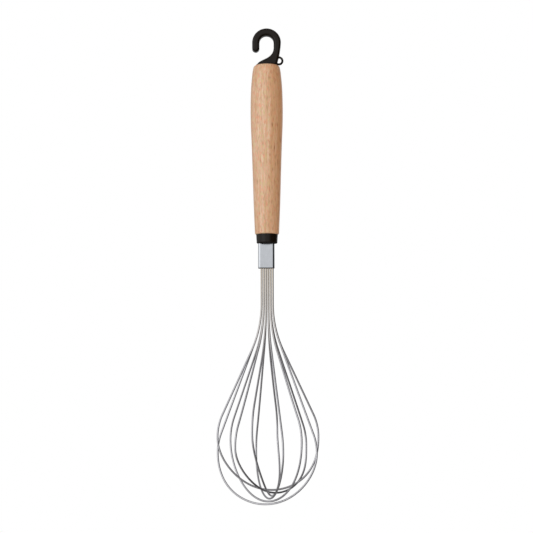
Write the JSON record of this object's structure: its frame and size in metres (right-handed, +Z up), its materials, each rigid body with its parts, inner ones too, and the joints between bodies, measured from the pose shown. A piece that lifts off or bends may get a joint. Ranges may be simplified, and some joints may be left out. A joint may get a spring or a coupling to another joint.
{
  "type": "balloon whisk",
  "caption": "Balloon whisk with a turned beech handle, a black moulded hanging hook and collar, a flattened steel sleeve and nested steel wire loops.",
  "frame": {"origin": "the highest point inside the hook's bow, where a rail bears on it, on the whisk's long axis", "axes": "+Z up along the whisk's axis from the wires to the hook, the picture looks along +Y at the sleeve's flat front, +X to the picture's right, where the hook's stem and eyelet are"},
  "size_m": [0.0639, 0.063, 0.299],
  "materials": {
    "beech": "fine satin, sealed",
    "black_moulding": "satin as moulded",
    "pressed_steel": "bright, lightly brushed",
    "steel_wire": "bright drawn",
    "cured_bond": "matt, hidden"
  },
  "bodies": {
    "root": {"hanging_hook": "black_moulding", "handle": "beech", "collar": "black_moulding", "bond_plug": "cured_bond", "wire_sleeve": "pressed_steel", "wire_loop_1": "steel_wire", "wire_loop_2": "steel_wire", "wire_loop_3": "steel_wire", "wire_loop_4": "steel_wire", "wire_loop_5": "steel_wire", "wire_loop_6": "steel_wire"}
  },
  "joints": []
}
